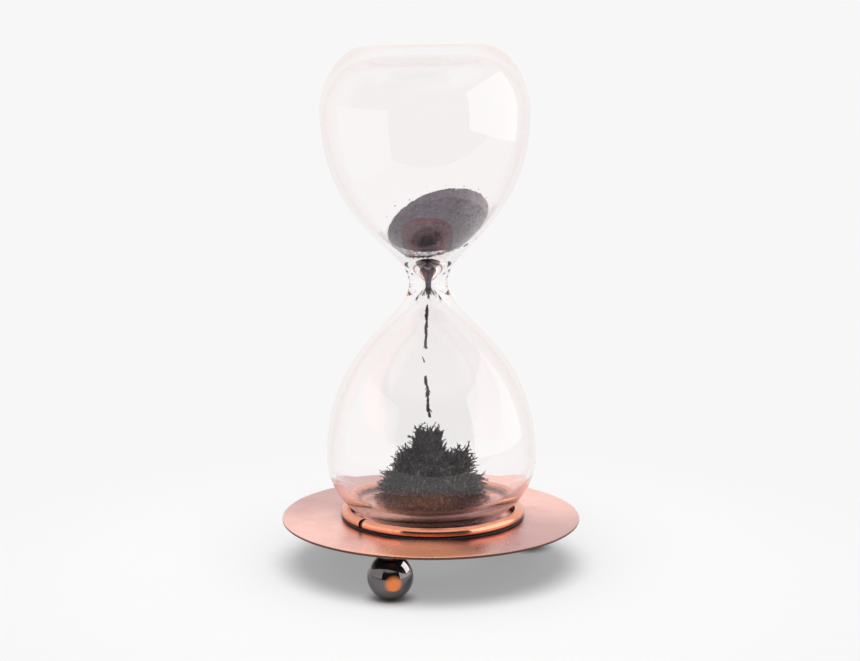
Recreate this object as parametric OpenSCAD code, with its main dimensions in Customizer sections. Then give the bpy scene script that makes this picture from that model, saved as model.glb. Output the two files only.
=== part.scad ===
// Iron-filings hourglass on a copper magnet stand, in millimetres, +Z up.
// The origin is on the desk, below the middle of the base plate.

/* [Base plate] */
// Diameter of the copper plate
plate_d = 86; // [76:1:110]
// Thickness of the copper plate
plate_t = 0.8; // [0.6:0.1:2]
// Radius of the rounded edge of the plate
plate_edge_r = 0.25; // [0.1:0.05:0.3]

/* [Locating ring] */
// Diameter of the copper wire
ring_wire_d = 3; // [2:0.1:5]
// Shortest gap from the wire to the glass, when the glass stands upright in the middle
ring_clearance = 0.9; // [0.5:0.01:3]
// Sideways place of the ring on the plate, and of the glass that stands in its middle
ring_offset = 0.5; // [-1:0.05:1]
// Width of the slit where the ends of the wire meet
ring_slit_w = 0.7; // [0.4:0.1:3]
// Angle of the slit, from the front towards the left
ring_slit_angle = 50; // [0:1:180]
// Slant of the slit across the wire
ring_slit_slant = 24; // [0:1:45]
// How far round the wire the solder climbs from the wire's lowest line
solder_climb = 42; // [30:1:50]
// Width of each fillet of solder on the plate, outside the line where it meets the wire
solder_leg = 0.3; // [0.1:0.05:0.8]

/* [Feet] */
// Diameter of each ball foot
ball_d = 12.7; // [8:0.1:18]
// Distance in from the plate's edge to the outside of a ball
foot_inset = 2.5; // [0.5:0.1:10]
// Height of the spacer collar above each ball
collar_t = 2.25; // [1.5:0.05:4]
// Diameter of the spacer collar
collar_d = 6; // [4.5:0.1:7]
// Diameter of the stud
stud_d = 3; // [2:0.1:4]
// Length of the stud inside the ball
stud_grip = 6; // [3:0.1:7]
// Radial clearance of the collar on the stud
collar_clearance = 0.1; // [0.05:0.01:0.3]
// Depth of the turned seat for the collar on top of the ball
ball_seat_h = 0.75; // [0.3:0.05:1.2]
// Angle of the front foot, from the front towards the right
front_foot_angle = -19; // [-60:1:60]
// Angle of the right rear foot
right_foot_angle = 121; // [90:1:160]
// Angle of the left rear foot
left_foot_angle = 231; // [200:1:270]

/* [Magnet] */
// Diameter of the disc magnet
magnet_d = 22; // [12:1:36]
// Thickness of the disc magnet
magnet_t = 4; // [2:0.5:6]
// Wall and floor thickness of the steel cup
cup_wall = 1.2; // [0.8:0.1:2]
// Radial clearance of the magnet in its cup
magnet_clearance = 0.1; // [0.05:0.05:0.3]
// Thickness of the adhesive disc
adhesive_t = 0.4; // [0.2:0.1:1]

/* [Glass] */
// Largest outside diameter of the upper bulb
upper_bulb_d = 59.2; // [50:0.1:75]
// Largest outside diameter of the lower bulb
lower_bulb_d = 60.4; // [50:0.1:75]
// Height from the waist to the top of the glass
upper_half_h = 67; // [60:0.5:85]
// Height from the foot of the glass to the waist
lower_half_h = 67.6; // [60:0.5:85]
// Height of the upper bulb's widest place above the waist
upper_belly_h = 48.9; // [40:0.1:55]
// Depth of the lower bulb's widest place below the waist
lower_belly_h = 51.2; // [40:0.1:56]
// Outside diameter of the waist
waist_d = 11; // [8:0.1:16]
// Diameter of the flat on each end
flat_d = 31; // [24:0.5:38]
// Wall thickness at the widest place
wall_t = 1.2; // [0.8:0.1:2]
// Thickness of the flat ends
end_t = 2.2; // [1.2:0.1:4]
// Diameter of the orifice in the waist
orifice_d = 2; // [1:0.1:4]
// Lean of the glass to the left, because its blown foot isn't quite square
glass_lean = 1.07; // [0:0.01:2]
// Gap under the lowest point of the glass
seat_gap = 0.15; // [0.1:0.05:0.5]

/* [Filings in the upper bulb] */
// Slope of the heap's surface, rising to the right
heap_slope_x = 0.226; // [0:0.001:0.4]
// Slope of the heap's surface, rising to the back
heap_slope_y = 0.468; // [0:0.001:0.6]
// Height of the heap's surface above the waist, on the axis
heap_h = 13.4; // [11:0.1:20]
// Height of the heap's underside above the waist
heap_floor_h = 8.6; // [7:0.1:10]
// Slope of the heap's underside, rising towards the glass
heap_floor_slope = 0.2; // [0.05:0.05:0.4]
// Height of the plug above the waist
plug_h = 6.4; // [3:0.1:6.8]
// Largest diameter of the plug
plug_d = 7.6; // [3:0.1:8]
// Length of the plug's tail below the waist
plug_tail = 3.2; // [1:0.1:4]

/* [Filings in the lower bulb] */
// Depth below the waist of the top of the upper falling strand
upper_strand_drop = 6; // [5:0.1:8]
// Length of the upper falling strand
upper_strand_l = 13.3; // [8:0.1:15]
// Gap between the upper strand and the small clumps below it
clump_gap = 2.3; // [1:0.1:4]
// Clear fall between the clumps and the lower strand, which reaches down to the pile
fall_gap = 3.8; // [3.2:0.1:8]
// Thickness of the strands
strand_d = 0.8; // [0.5:0.1:1.4]
// Diameter of the spiky pile's foot, without its spikes
pile_d = 27; // [18:0.5:30]
// Height of the spiky pile
pile_h = 26; // [16:0.5:28]
// Number of spikes on the pile
spike_count = 54; // [24:1:80]
// Length of a spike
spike_l = 3.6; // [2:0.1:5]
// Diameter of the skirt of fine filings round the pile
skirt_d = 34; // [30:0.5:40]
// Thickness of the skirt
skirt_t = 0.4; // [0.2:0.1:0.8]
// Gap between any filings and the glass
filings_gap = 0.15; // [0.1:0.01:0.3]
// Number of loose grains on the glass floor
grain_count = 24; // [6:1:60]
// Diameter of a loose grain
grain_d = 0.6; // [0.3:0.1:1]

/* [Hidden] */
$fn = 96;
golden_angle = 137.5;

// Height of the lowest filings above the foot of the glass
floor_z = end_t + filings_gap;

// Heights of the stand, from the desk up
plate_z = ball_d + collar_t - ball_seat_h;
plate_top = plate_z + plate_t;
foot_pitch_r = plate_d / 2 - foot_inset - ball_d / 2;
cup_d = magnet_d + 2 * magnet_clearance + 2 * cup_wall;

// How far each curve of a bulb's outline pulls at its ends, as shares of its reach
waist_ease = 0.213;
throat_ease = 0.15;
belly_ease = 0.673;
shoulder_ease = 0.355;
flat_ease = 0.65;
outline_steps = 14;

// The lowest point of the leaning foot clears the plate by seat_gap
foot_z = plate_top + seat_gap + flat_d / 2 * sin(glass_lean);
waist_x = ring_offset - lower_half_h * sin(glass_lean);
waist_z = foot_z + lower_half_h * cos(glass_lean);
glass_h = lower_half_h + upper_half_h;
clumps_z = waist_z - upper_strand_drop - upper_strand_l - clump_gap;

// A point on a cubic curve, and the curve as n points without its first
function cubic(a, b, c, d, t) =
    pow(1 - t, 3) * a + 3 * pow(1 - t, 2) * t * b + 3 * (1 - t) * t * t * c + pow(t, 3) * d;
function cubic_points(a, b, c, d, n) = [for (i = [1:n]) cubic(a, b, c, d, i / n)];

// A list the other way round
function reversed(list) = [for (i = [len(list) - 1:-1:0]) list[i]];

// Half of a bulb's outline from the waist out, as [radius, distance from the waist]
function waist_curve(waist_r, ease, belly_r, belly_h) = cubic_points(
    [waist_r, 0], [waist_r, ease * belly_h],
    [belly_r, (1 - belly_ease) * belly_h], [belly_r, belly_h], outline_steps
);
function shoulder_curve(belly_r, belly_h, flat_r, end_h) = cubic_points(
    [belly_r, belly_h], [belly_r, belly_h + shoulder_ease * (end_h - belly_h)],
    [flat_r + flat_ease * (belly_r - flat_r), end_h], [flat_r, end_h], outline_steps
);
function bulb(waist_r, ease, belly_r, belly_h, flat_r, end_h) = concat(
    waist_curve(waist_r, ease, belly_r, belly_h),
    shoulder_curve(belly_r, belly_h, flat_r, end_h)
);

// A whole outline from the foot up, with the wall and the ends drawn in by the given amounts
function hourglass(waist_r, ease, wall, end) = let (
    lower = bulb(waist_r, ease, lower_bulb_d / 2 - wall, lower_belly_h,
        flat_d / 2 - wall, lower_half_h - end),
    upper = bulb(waist_r, ease, upper_bulb_d / 2 - wall, upper_belly_h,
        flat_d / 2 - wall, upper_half_h - end)
) concat(
    [[0, end]],
    [for (p = reversed(lower)) [p[0], lower_half_h - p[1]]],
    [[waist_r, lower_half_h]],
    [for (p = upper) [p[0], lower_half_h + p[1]]],
    [[0, glass_h - end]]
);
glass_outline = hourglass(waist_d / 2, waist_ease, 0, 0);
function cavity_outline(inset) =
    hourglass(orifice_d / 2 - inset, throat_ease, wall_t + inset, end_t + inset);

// Radius of the foot of the glass at a height
foot_by_height = [for (i = [1:outline_steps]) [glass_outline[i][1], glass_outline[i][0]]];
function foot_radius(h) = lookup(h, foot_by_height);

// Height of a grain's middle at a radius, as it rests against the glass floor
grain_track = [
    for (p = cavity_outline(filings_gap + grain_d / 2)) if (p[1] < end_t + wall_t * 4) p
];
function grain_height(r) = lookup(r, grain_track);

// The ring is the smallest that keeps its clearance from every height of the foot
ring_keep_r = ring_wire_d / 2 + ring_clearance;
ring_r = max([
    for (h = [0:0.05:2 * ring_wire_d])
        let (rise = h + foot_z - plate_top - ring_wire_d / 2)
        if (abs(rise) < ring_keep_r)
            foot_radius(h) + sqrt(ring_keep_r * ring_keep_r - rise * rise)
]);

// Puts something drawn round the ring's middle where the ring is on the plate
module on_ring() {
    translate([ring_offset, 0, plate_top]) children();
}

// Puts something drawn on the glass's own axis, from its foot up, where the glass stands
module in_glass() {
    translate([ring_offset, 0, foot_z]) rotate([0, -glass_lean, 0]) children();
}

// Puts something at a foot's place on the plate
module at_foot(angle, z) {
    translate([foot_pitch_r * sin(angle), -foot_pitch_r * cos(angle), z]) children();
}

// The inside of the glass, drawn in by a gap
module cavity(inset) {
    rotate_extrude() polygon(cavity_outline(inset));
}

module base_plate() {
    edge = plate_edge_r;
    steps = 4;
    rim = [
        for (side = [0, 1], i = [0:steps]) let (a = -90 + 90 * side + 90 * i / steps) [
            plate_d / 2 - edge + edge * cos(a),
            (side == 0 ? edge : plate_t - edge) + edge * sin(a)
        ]
    ];
    color("#c98a72") translate([0, 0, plate_z])
        rotate_extrude() polygon(concat([[0, 0]], rim, [[0, plate_t]]));
}

module ring_wire() {
    translate([0, 0, ring_wire_d / 2])
        rotate_extrude() translate([ring_r, 0]) circle(d = ring_wire_d);
}

module locating_ring() {
    slit_h = ring_wire_d * 2;
    color("#c96f45") on_ring() difference() {
        ring_wire();
        rotate([0, 0, -90 - ring_slit_angle])
            translate([ring_r, 0, ring_wire_d / 2])
            rotate([0, 0, ring_slit_slant])
            cube([slit_h, ring_slit_w, slit_h], center = true);
    }
}

// Two fillets in the crevices beside the wire, each with its top on the wire's tangent
module ring_solder_bead() {
    wire_r = ring_wire_d / 2;
    meets_wire = [wire_r * sin(solder_climb), wire_r * (1 - cos(solder_climb))];
    fillet = [
        [wire_r * tan(solder_climb / 2), 0],
        [meets_wire[0] + solder_leg, 0],
        meets_wire
    ];
    color("#5b4640") on_ring() for (side = [0, 1])
        rotate_extrude() translate([ring_r, 0]) mirror([side, 0]) polygon(fillet);
}

module ball_foot(angle) {
    color("#3a3a40") at_foot(angle, ball_d / 2) difference() {
        sphere(d = ball_d);
        translate([0, 0, ball_d / 2 - ball_seat_h]) cylinder(d = ball_d, h = ball_d);
        translate([0, 0, ball_d / 2 - ball_seat_h - stud_grip]) cylinder(d = stud_d, h = ball_d);
    }
}

module foot_collar(angle) {
    color("#4a4038") at_foot(angle, plate_z - collar_t) difference() {
        cylinder(d = collar_d, h = collar_t);
        translate([0, 0, -1]) cylinder(d = stud_d + 2 * collar_clearance, h = collar_t + 2);
    }
}

module foot_stud(angle) {
    color("#8d8d92") at_foot(angle, plate_z - collar_t - stud_grip)
        cylinder(d = stud_d, h = stud_grip + collar_t);
}

module magnet_adhesive_disc() {
    color("#d8d4c8") translate([0, 0, plate_z - adhesive_t])
        cylinder(d = cup_d, h = adhesive_t);
}

module disc_magnet() {
    color("#b9bcc0") translate([0, 0, plate_z - adhesive_t - magnet_t])
        cylinder(d = magnet_d, h = magnet_t);
}

module magnet_cup() {
    color("#9a9da2") translate([0, 0, plate_z - adhesive_t - magnet_t - cup_wall]) difference() {
        cylinder(d = cup_d, h = magnet_t + cup_wall);
        translate([0, 0, cup_wall])
            cylinder(d = magnet_d + 2 * magnet_clearance, h = magnet_t + 1);
    }
}

module glass_hourglass() {
    color("#dfe9ec", 0.35) in_glass()
        rotate_extrude() polygon(concat(glass_outline, reversed(cavity_outline(0))));
}

module upper_filings_heap() {
    reach = upper_bulb_d;
    tilt = atan(norm([heap_slope_x, heap_slope_y]));
    uphill = atan2(heap_slope_y, heap_slope_x);
    underside = [[0, 0], [reach, reach * heap_floor_slope], [reach, reach], [0, reach]];
    color("#69616a") in_glass() intersection() {
        cavity(filings_gap);
        translate([0, 0, lower_half_h + heap_floor_h]) rotate_extrude() polygon(underside);
        translate([0, 0, lower_half_h + heap_h]) rotate([0, -tilt, uphill])
            translate([-reach, -reach, -reach]) cube([2 * reach, 2 * reach, reach]);
    }
}

module neck_filings_plug() {
    bore = orifice_d - 2 * filings_gap;
    color("#3b3338") in_glass() {
        intersection() {
            cavity(filings_gap);
            translate([0, 0, lower_half_h]) cylinder(d = plug_d, h = plug_h);
            translate([0, 0, lower_half_h]) sphere(r = plug_h);
        }
        translate([0, 0, lower_half_h - plug_tail])
            cylinder(d1 = bore * 0.8, d2 = bore, h = plug_tail);
    }
}

// A strand of clumped filings hanging from z = 0 down, bent a little from side to side
module strand(from_x, to_x, length, thickness) {
    links = 7;
    sway = thickness * 0.3;
    function at(i) = [
        from_x + (to_x - from_x) * i / links + sway * sin(i * golden_angle),
        sway * cos(i * golden_angle),
        -length * i / links
    ];
    for (i = [0:links - 1]) {
        step = at(i + 1) - at(i);
        lean = acos(-step[2] / norm(step));
        turn = atan2(step[1], step[0]);
        translate(at(i)) rotate([0, 180 - lean, turn])
            cylinder(d1 = thickness * 0.8, d2 = thickness * 0.6, h = norm(step));
        if (i > 0) translate(at(i)) sphere(d = thickness * (0.95 + 0.2 * (i % 3)), $fn = 24);
    }
}

module falling_strand_upper() {
    color("#332c31") translate([0, 0, waist_z - upper_strand_drop])
        strand(waist_x - strand_d / 2, waist_x - strand_d, upper_strand_l, strand_d);
}

// Three grains hang together below clumps_z
module falling_clumps() {
    color("#332c31") translate([waist_x - strand_d * 2, 0, clumps_z - strand_d / 2]) {
        sphere(d = strand_d, $fn = 24);
        translate([strand_d * 0.3, 0, -strand_d * 0.6]) sphere(d = strand_d, $fn = 24);
        translate([strand_d * 0.6, 0, -strand_d * 1.2]) sphere(d = strand_d, $fn = 24);
    }
}

module falling_strand_lower() {
    top_z = clumps_z - strand_d * 2.2 - fall_gap;
    tip_z = foot_z + floor_z + pile_h + filings_gap;
    color("#332c31") translate([0, 0, top_z])
        strand(waist_x - strand_d * 0.7, waist_x + strand_d * 0.3, top_z - tip_z, strand_d);
}

// Spikes follow the field of the magnet: upright on the crown and nearly level at the foot
module spike(i) {
    share = 0.07 + 0.88 * (i + 0.5) / spike_count;
    r = pile_d / 2 * cos(90 * share);
    z = pile_h * share;
    splay = atan2(r + spike_l, z + spike_l / 2);
    root_r = spike_l / 5;
    turn = i * golden_angle;
    translate([r * cos(turn), r * sin(turn), z]) rotate([0, splay, turn])
        translate([0, 0, -spike_l / 3]) cylinder(r1 = root_r, r2 = root_r / 5, h = spike_l, $fn = 16);
}

module spiky_filings_pile() {
    steps = 8;
    dome = [for (i = [0:steps]) [pile_d / 2 * cos(90 * i / steps), pile_h * i / steps]];
    color("#2b282c") in_glass() translate([0, 0, floor_z]) {
        rotate_extrude() polygon(concat([[0, 0]], dome));
        for (i = [0:spike_count - 1]) spike(i);
    }
}

module filings_skirt() {
    color("#54403a") in_glass() difference() {
        intersection() {
            cavity(filings_gap);
            cylinder(d = skirt_d, h = end_t * 3);
        }
        cavity(filings_gap + skirt_t);
        cylinder(d = pile_d + 2 * filings_gap, h = end_t * 3);
    }
}

module loose_grains() {
    color("#3a3236") in_glass() for (i = [0:grain_count - 1]) {
        r = skirt_d / 2 + grain_d + (i % 5) * grain_d;
        turn = i * golden_angle;
        translate([r * cos(turn), r * sin(turn), grain_height(r)])
            sphere(d = grain_d, $fn = 16);
    }
}

base_plate();
locating_ring();
ring_solder_bead();
ball_foot(front_foot_angle);  // front_ball_foot
ball_foot(right_foot_angle);  // right_ball_foot
ball_foot(left_foot_angle);  // left_ball_foot
foot_collar(front_foot_angle);  // front_foot_collar
foot_collar(right_foot_angle);  // right_foot_collar
foot_collar(left_foot_angle);  // left_foot_collar
foot_stud(front_foot_angle);  // front_foot_stud
foot_stud(right_foot_angle);  // right_foot_stud
foot_stud(left_foot_angle);  // left_foot_stud
magnet_adhesive_disc();
disc_magnet();
magnet_cup();
glass_hourglass();
upper_filings_heap();
neck_filings_plug();
falling_strand_upper();
falling_clumps();
falling_strand_lower();
spiky_filings_pile();
filings_skirt();
loose_grains();
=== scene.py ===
"""Dresses the CAD frame of a magnetic iron-filings hourglass on its copper stand.

Every piece is built in the frame's own metres. The script runs on its own and reads only the frame.
"""

import math
import random

import bmesh
import bpy
from mathutils import Matrix, Vector, noise


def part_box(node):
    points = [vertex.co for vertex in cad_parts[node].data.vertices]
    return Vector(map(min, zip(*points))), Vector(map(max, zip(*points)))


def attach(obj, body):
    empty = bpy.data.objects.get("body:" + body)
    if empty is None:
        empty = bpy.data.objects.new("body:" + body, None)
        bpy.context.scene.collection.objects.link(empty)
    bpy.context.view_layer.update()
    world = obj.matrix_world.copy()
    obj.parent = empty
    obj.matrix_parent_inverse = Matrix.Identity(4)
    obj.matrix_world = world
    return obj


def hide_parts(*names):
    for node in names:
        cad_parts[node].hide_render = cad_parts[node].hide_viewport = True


bl_info = {
    "name": "Filings Hourglass",
    "version": (1, 0, 0),
    "blender": (4, 5, 0),
    "location": "3D View > Sidebar > Hourglass",
    "description": "Builds the finished looks of an iron-filings hourglass round its CAD frame",
    "category": "Add Mesh",
}

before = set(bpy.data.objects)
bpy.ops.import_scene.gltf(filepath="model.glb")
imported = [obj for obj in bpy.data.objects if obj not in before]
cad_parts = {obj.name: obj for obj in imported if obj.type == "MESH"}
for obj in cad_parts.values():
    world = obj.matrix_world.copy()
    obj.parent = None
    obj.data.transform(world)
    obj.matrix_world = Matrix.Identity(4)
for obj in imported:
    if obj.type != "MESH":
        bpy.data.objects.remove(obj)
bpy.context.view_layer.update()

MM = 0.001
GOLDEN_ANGLE = math.radians(137.5)
FULL_TURN = 2 * math.pi


def linear(code):
    """The linear RGBA of an sRGB hex colour."""
    shares = [int(code[i : i + 2], 16) / 255 for i in (1, 3, 5)]
    return [s / 12.92 if s <= 0.04045 else ((s + 0.055) / 1.055) ** 2.4 for s in shares] + [1.0]


WHITE = linear("#FFFFFF")
FEET = ("front", "right", "left")


def length_prop(name, description, millimetres):
    """A property for a size of the object."""
    return bpy.props.FloatProperty(
        name=name, description=description, default=millimetres * MM, unit="LENGTH", precision=5
    )


def angle_prop(name, description, degrees):
    """A property for an angle."""
    return bpy.props.FloatProperty(
        name=name, description=description, default=math.radians(degrees), subtype="ANGLE"
    )


def colour_prop(name, description, code):
    """A property for a colour, given as sRGB hex."""
    return bpy.props.FloatVectorProperty(
        name=name, description=description, default=linear(code), subtype="COLOR", size=4, min=0, max=1
    )


def number_prop(name, description, value):
    """A property for a plain number."""
    return bpy.props.FloatProperty(name=name, description=description, default=value, precision=3)


class GlassSizes(bpy.types.PropertyGroup):
    """Sizes of the blown glass, as the frame was drawn."""

    upper_bulb_d: length_prop("Upper bulb", "Largest outside diameter of the upper bulb", 59.2)
    lower_bulb_d: length_prop("Lower bulb", "Largest outside diameter of the lower bulb", 60.4)
    upper_half_h: length_prop("Upper half", "Height from the waist to the top of the glass", 67)
    lower_half_h: length_prop("Lower half", "Height from the foot of the glass to the waist", 67.6)
    upper_belly_h: length_prop("Upper belly", "Height of the upper bulb's widest place above the waist", 48.9)
    lower_belly_h: length_prop("Lower belly", "Depth of the lower bulb's widest place below the waist", 51.2)
    waist_d: length_prop("Waist", "Outside diameter of the waist", 11)
    flat_d: length_prop("Flats", "Diameter of the flat on each end", 31)
    wall_t: length_prop("Wall", "Wall thickness at the widest place", 1.2)
    end_t: length_prop("Ends", "Thickness of the flat ends", 2.2)
    orifice_d: length_prop("Orifice", "Diameter of the orifice in the waist", 2)
    gap: length_prop("Filings gap", "Gap between any filings and the glass", 0.15)
    waviness: length_prop("Waviness", "Depth of the hand-blown waves in the skin", 0.05)
    lean: angle_prop("Lean", "Lean of the glass to the left", 1.07)
    waist_ease: number_prop("Waist ease", "How far the waist's curve runs along the axis", 0.213)
    throat_ease: number_prop("Throat ease", "The same inside the throat", 0.15)
    belly_ease: number_prop("Belly ease", "How far the belly's curve runs down", 0.673)
    shoulder_ease: number_prop("Shoulder ease", "How far the belly's curve runs up", 0.355)
    flat_ease: number_prop("Flat ease", "How far the shoulder's curve runs out along the flat", 0.65)


class StandSizes(bpy.types.PropertyGroup):
    """Sizes of the finish details on the stand."""

    plate_edge_r: length_prop("Plate edge", "Radius of the plate's rounded edge", 0.25)
    plate_dish: length_prop("Plate dish", "Depth of the soft waves hammered out of the sheet", 0.015)
    shear_depth: length_prop("Shear marks", "Depth of the marks that the shears left on the rim", 0.06)
    slit_w: length_prop("Slit", "Width of the slit where the ends of the wire meet", 0.7)
    slit_angle: angle_prop("Slit angle", "Angle of the slit, from the front towards the left", 50)
    slit_slant: angle_prop("Slit slant", "Slant of the slit across the wire", 24)
    seat_r: length_prop("Ball seat edge", "Radius that breaks the edge of the seat on a ball", 0.2)
    collar_chamfer: length_prop("Collar chamfer", "Chamfer on both ends of a collar", 0.25)
    cup_fillet: length_prop("Cup fillet", "Radius pressed into the cup's bottom edge", 1.0)


class FilingSizes(bpy.types.PropertyGroup):
    """Sizes of the heaps of iron filings."""

    heap_slope_x: number_prop("Heap slope across", "Slope of the heap's surface, rising to the right", 0.226)
    heap_slope_y: number_prop("Heap slope back", "Slope of the heap's surface, rising to the back", 0.468)
    heap_h: length_prop("Heap height", "Height of the heap's surface above the waist, on the axis", 13.4)
    heap_floor_h: length_prop("Heap underside", "Height of the heap's underside above the waist", 8.6)
    heap_floor_slope: number_prop("Underside slope", "Slope of the underside, rising towards the glass", 0.2)
    crater_r: length_prop("Crater", "Radius of the funnel where the filings drain away", 4.4)
    crater_depth: length_prop("Crater depth", "Depth of the funnel", 2.2)
    plug_h: length_prop("Plug height", "Height of the plug above the waist", 6.4)
    plug_d: length_prop("Plug", "Largest diameter of the plug", 7.6)
    plug_tail: length_prop("Plug tail", "Length of the plug's tail below the waist", 3.2)
    skirt_d: length_prop("Skirt", "Diameter of the skirt of dust round the pile", 34)
    strand_d: length_prop("Strands", "Thickness of the falling strands", 0.8)
    filing_t: length_prop("Filing thickness", "Thickness of one filing", 0.22)


class Finishes(bpy.types.PropertyGroup):
    """Colours of the object's finishes."""

    # Painted highlight: the plate's copper and dull copper paint its two gleaming lobes and the copper
    # between them
    copper: colour_prop("Copper", "Lacquered copper plate where its turning marks gleam", "#FFC9BC")
    copper_between_painted_highlights: colour_prop("Dull copper", "Lacquered copper plate between the gleaming lobes", "#CC9C98")
    # Painted reflection: the worn copper colour paints the plate's orange front
    copper_painted_reflection: colour_prop("Worn copper", "Copper plate where its lacquer is thin", "#FFAA7C")
    copper_wire: colour_prop("Copper wire", "Polished copper wire", "#EAA080")
    patina: colour_prop("Patina", "Antique black in the corners", "#2A1F22")
    rim_brown: colour_prop("Rim", "Brown on the plate's cut rim", "#5A3A30")
    black_nickel: colour_prop("Black nickel", "Mirror plate on the ball feet", "#6E6869")
    steel: colour_prop("Steel", "Zinc plate on the magnet's cup", "#B9BABC")
    magnet: colour_prop("Magnet", "Nickel plate on the magnet", "#C9C8C4")
    adhesive: colour_prop("Adhesive", "Foam tape", "#D8D4C8")
    glass: colour_prop("Glass", "Clear borosilicate, seen straight on", "#FFFDFD")
    # Painted reflection: the glass edge colour tints the rims pink for the copper that they would mirror
    glass_rim_painted_reflection: colour_prop("Glass edge", "The same along a skin, where light runs far inside it", "#F6E6E3")
    filings: colour_prop("Filings", "Coarse magnetised filings", "#272226")
    # Painted highlight: the bright filings colour paints glints on the pile
    filings_painted_glint: colour_prop("Bright filings", "Broken edges that catch the light", "#8D8078")
    powder: colour_prop("Powder", "Fine iron powder of the heap", "#60555F")
    # Painted light: the pale powder colour lightens the heap's right side
    powder_painted_light: colour_prop("Pale powder", "Dust on the heap's right side", "#9A8F93")
    rust: colour_prop("Rust", "Rusty grains", "#6F4438")
    dust: colour_prop("Dust", "Film of rusty dust on the glass floor", "#5B4037")
    floor: colour_prop("Floor", "Table and backdrop", "#C2C2C2")


class StageSizes(bpy.types.PropertyGroup):
    """The camera and the studio."""

    camera_distance: length_prop("Camera distance", "From the plate's axis to the camera", 500)
    camera_rise: length_prop("Camera rise", "Height of the camera above the plate", 138.4)
    camera_pitch: angle_prop("Camera pitch", "How far the camera looks down", 9.56)
    lens: number_prop("Lens", "Focal length in millimetres", 74.3)
    backdrop: number_prop("Backdrop", "Brightness of the backdrop and of the far table", 0.9301)
    table_glow: number_prop("Table glow", "How much the table glows by itself, in shadows too", 0.3)
    table_edge: length_prop("Table edge", "From the axis to the dark room that only gleams mirror", 200)
    camera_aside: length_prop("Camera aside", "How far the camera stands to the left", 0.26)


def cubic(a, b, c, d, steps):
    """Points on a cubic curve through a and d, without its first."""
    points = []
    for i in range(1, steps + 1):
        t = i / steps
        points.append(
            a * (1 - t) ** 3 + b * (3 * (1 - t) ** 2 * t) + c * (3 * (1 - t) * t * t) + d * t**3
        )
    return points


def arc(cx, cz, radius, start, end, steps):
    """Points on an arc of an outline, its angles in degrees from the radius outwards."""
    points = []
    for i in range(steps + 1):
        a = math.radians(start + (end - start) * i / steps)
        points.append((cx + radius * math.cos(a), cz + radius * math.sin(a)))
    return points


def hourglass_outline(waist_r, ease, wall, end, steps=40):
    """The (radius, height) outline of the glass from its foot up, drawn in by a wall and an end."""
    g = bpy.context.scene.hourglass_glass

    def bulb(bulb_d, belly_h, half_h):
        belly = Vector((bulb_d / 2 - wall, belly_h))
        flat = Vector((g.flat_d / 2 - wall, half_h - end))
        neck = cubic(
            Vector((waist_r, 0)),
            Vector((waist_r, ease * belly_h)),
            Vector((belly.x, (1 - g.belly_ease) * belly_h)),
            belly,
            steps,
        )
        shoulder = cubic(
            belly,
            belly + Vector((0, g.shoulder_ease * (flat.y - belly.y))),
            Vector((flat.x + g.flat_ease * (belly.x - flat.x), flat.y)),
            flat,
            steps,
        )
        return neck + shoulder

    waist_h = g.lower_half_h
    lower = bulb(g.lower_bulb_d, g.lower_belly_h, waist_h)
    upper = bulb(g.upper_bulb_d, g.upper_belly_h, g.upper_half_h)
    outline = [(0, end)] + [(p.x, waist_h - p.y) for p in reversed(lower)] + [(waist_r, waist_h)]
    return outline + [(p.x, waist_h + p.y) for p in upper] + [(0, waist_h + g.upper_half_h - end)]


def cavity_outline(inset):
    """The outline of the hollow in the glass, drawn in by a gap."""
    g = bpy.context.scene.hourglass_glass
    return hourglass_outline(g.orifice_d / 2 - inset, g.throat_ease, g.wall_t + inset, g.end_t + inset)


def radius_at(outline, height):
    """Radius of an outline at a height, between its two nearest points."""
    for (r0, z0), (r1, z1) in zip(outline[1:], outline[2:]):
        if z0 <= height <= z1:
            return r0 + (r1 - r0) * (height - z0) / max(z1 - z0, 1e-9)
    return outline[-2][0]


def floor_at(outline, radius):
    """Height of the lower bulb's floor at a radius."""
    if radius <= outline[1][0]:
        return outline[0][1]
    for (r0, z0), (r1, z1) in zip(outline[1:], outline[2:]):
        if r0 <= radius <= r1:
            return z0 + (z1 - z0) * (radius - r0) / max(r1 - r0, 1e-9)
    return outline[2][1]


def glass_place():
    """Where the leaning glass stands: its foot at the origin goes to the ring's middle."""
    g = bpy.context.scene.hourglass_glass
    foot_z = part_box("glass_hourglass")[0].z + g.flat_d / 2 * math.sin(g.lean)
    return Matrix.Translation((ring_place()[0].x, 0, foot_z)) @ Matrix.Rotation(-g.lean, 4, "Y")


def lathe(bm, outline, steps):
    """Spins an outline of (radius, height) points round the Z axis into a closed skin, normals out."""
    verts = [bm.verts.new((r, 0, z)) for r, z in outline]
    edges = [bm.edges.new(pair) for pair in zip(verts, verts[1:])]
    bmesh.ops.spin(
        bm, geom=verts + edges, cent=(0, 0, 0), axis=(0, 0, 1), angle=FULL_TURN, steps=steps, use_merge=True
    )
    bmesh.ops.remove_doubles(bm, verts=bm.verts[:], dist=1e-7)
    bmesh.ops.recalc_face_normals(bm, faces=bm.faces[:])


def move(bm, matrix):
    """Moves the whole of a bmesh."""
    bmesh.ops.transform(bm, matrix=matrix, verts=bm.verts[:])


def mesh_of(bm, name):
    """Turns a bmesh into a mesh, and frees it."""
    mesh = bpy.data.meshes.new(name)
    bm.to_mesh(mesh)
    bm.free()
    return mesh


def add_object(name, data):
    """Adds an object to the scene."""
    made = bpy.data.objects.new(name, data)
    bpy.context.scene.collection.objects.link(made)
    return made


def make_piece(name, bm, material, body, nodes, sharp_degrees=None):
    """Turns a bmesh into a piece of the object that rides on a body and stands for its CAD nodes."""
    for face in bm.faces:
        face.smooth = True
    if sharp_degrees is not None:
        for edge in bm.edges:
            edge.smooth = edge.calc_face_angle(0) < math.radians(sharp_degrees)
    piece = add_object(name, mesh_of(bm, name))
    piece.data.materials.append(material)
    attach(piece, body)
    if nodes:
        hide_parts(*nodes)


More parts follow.
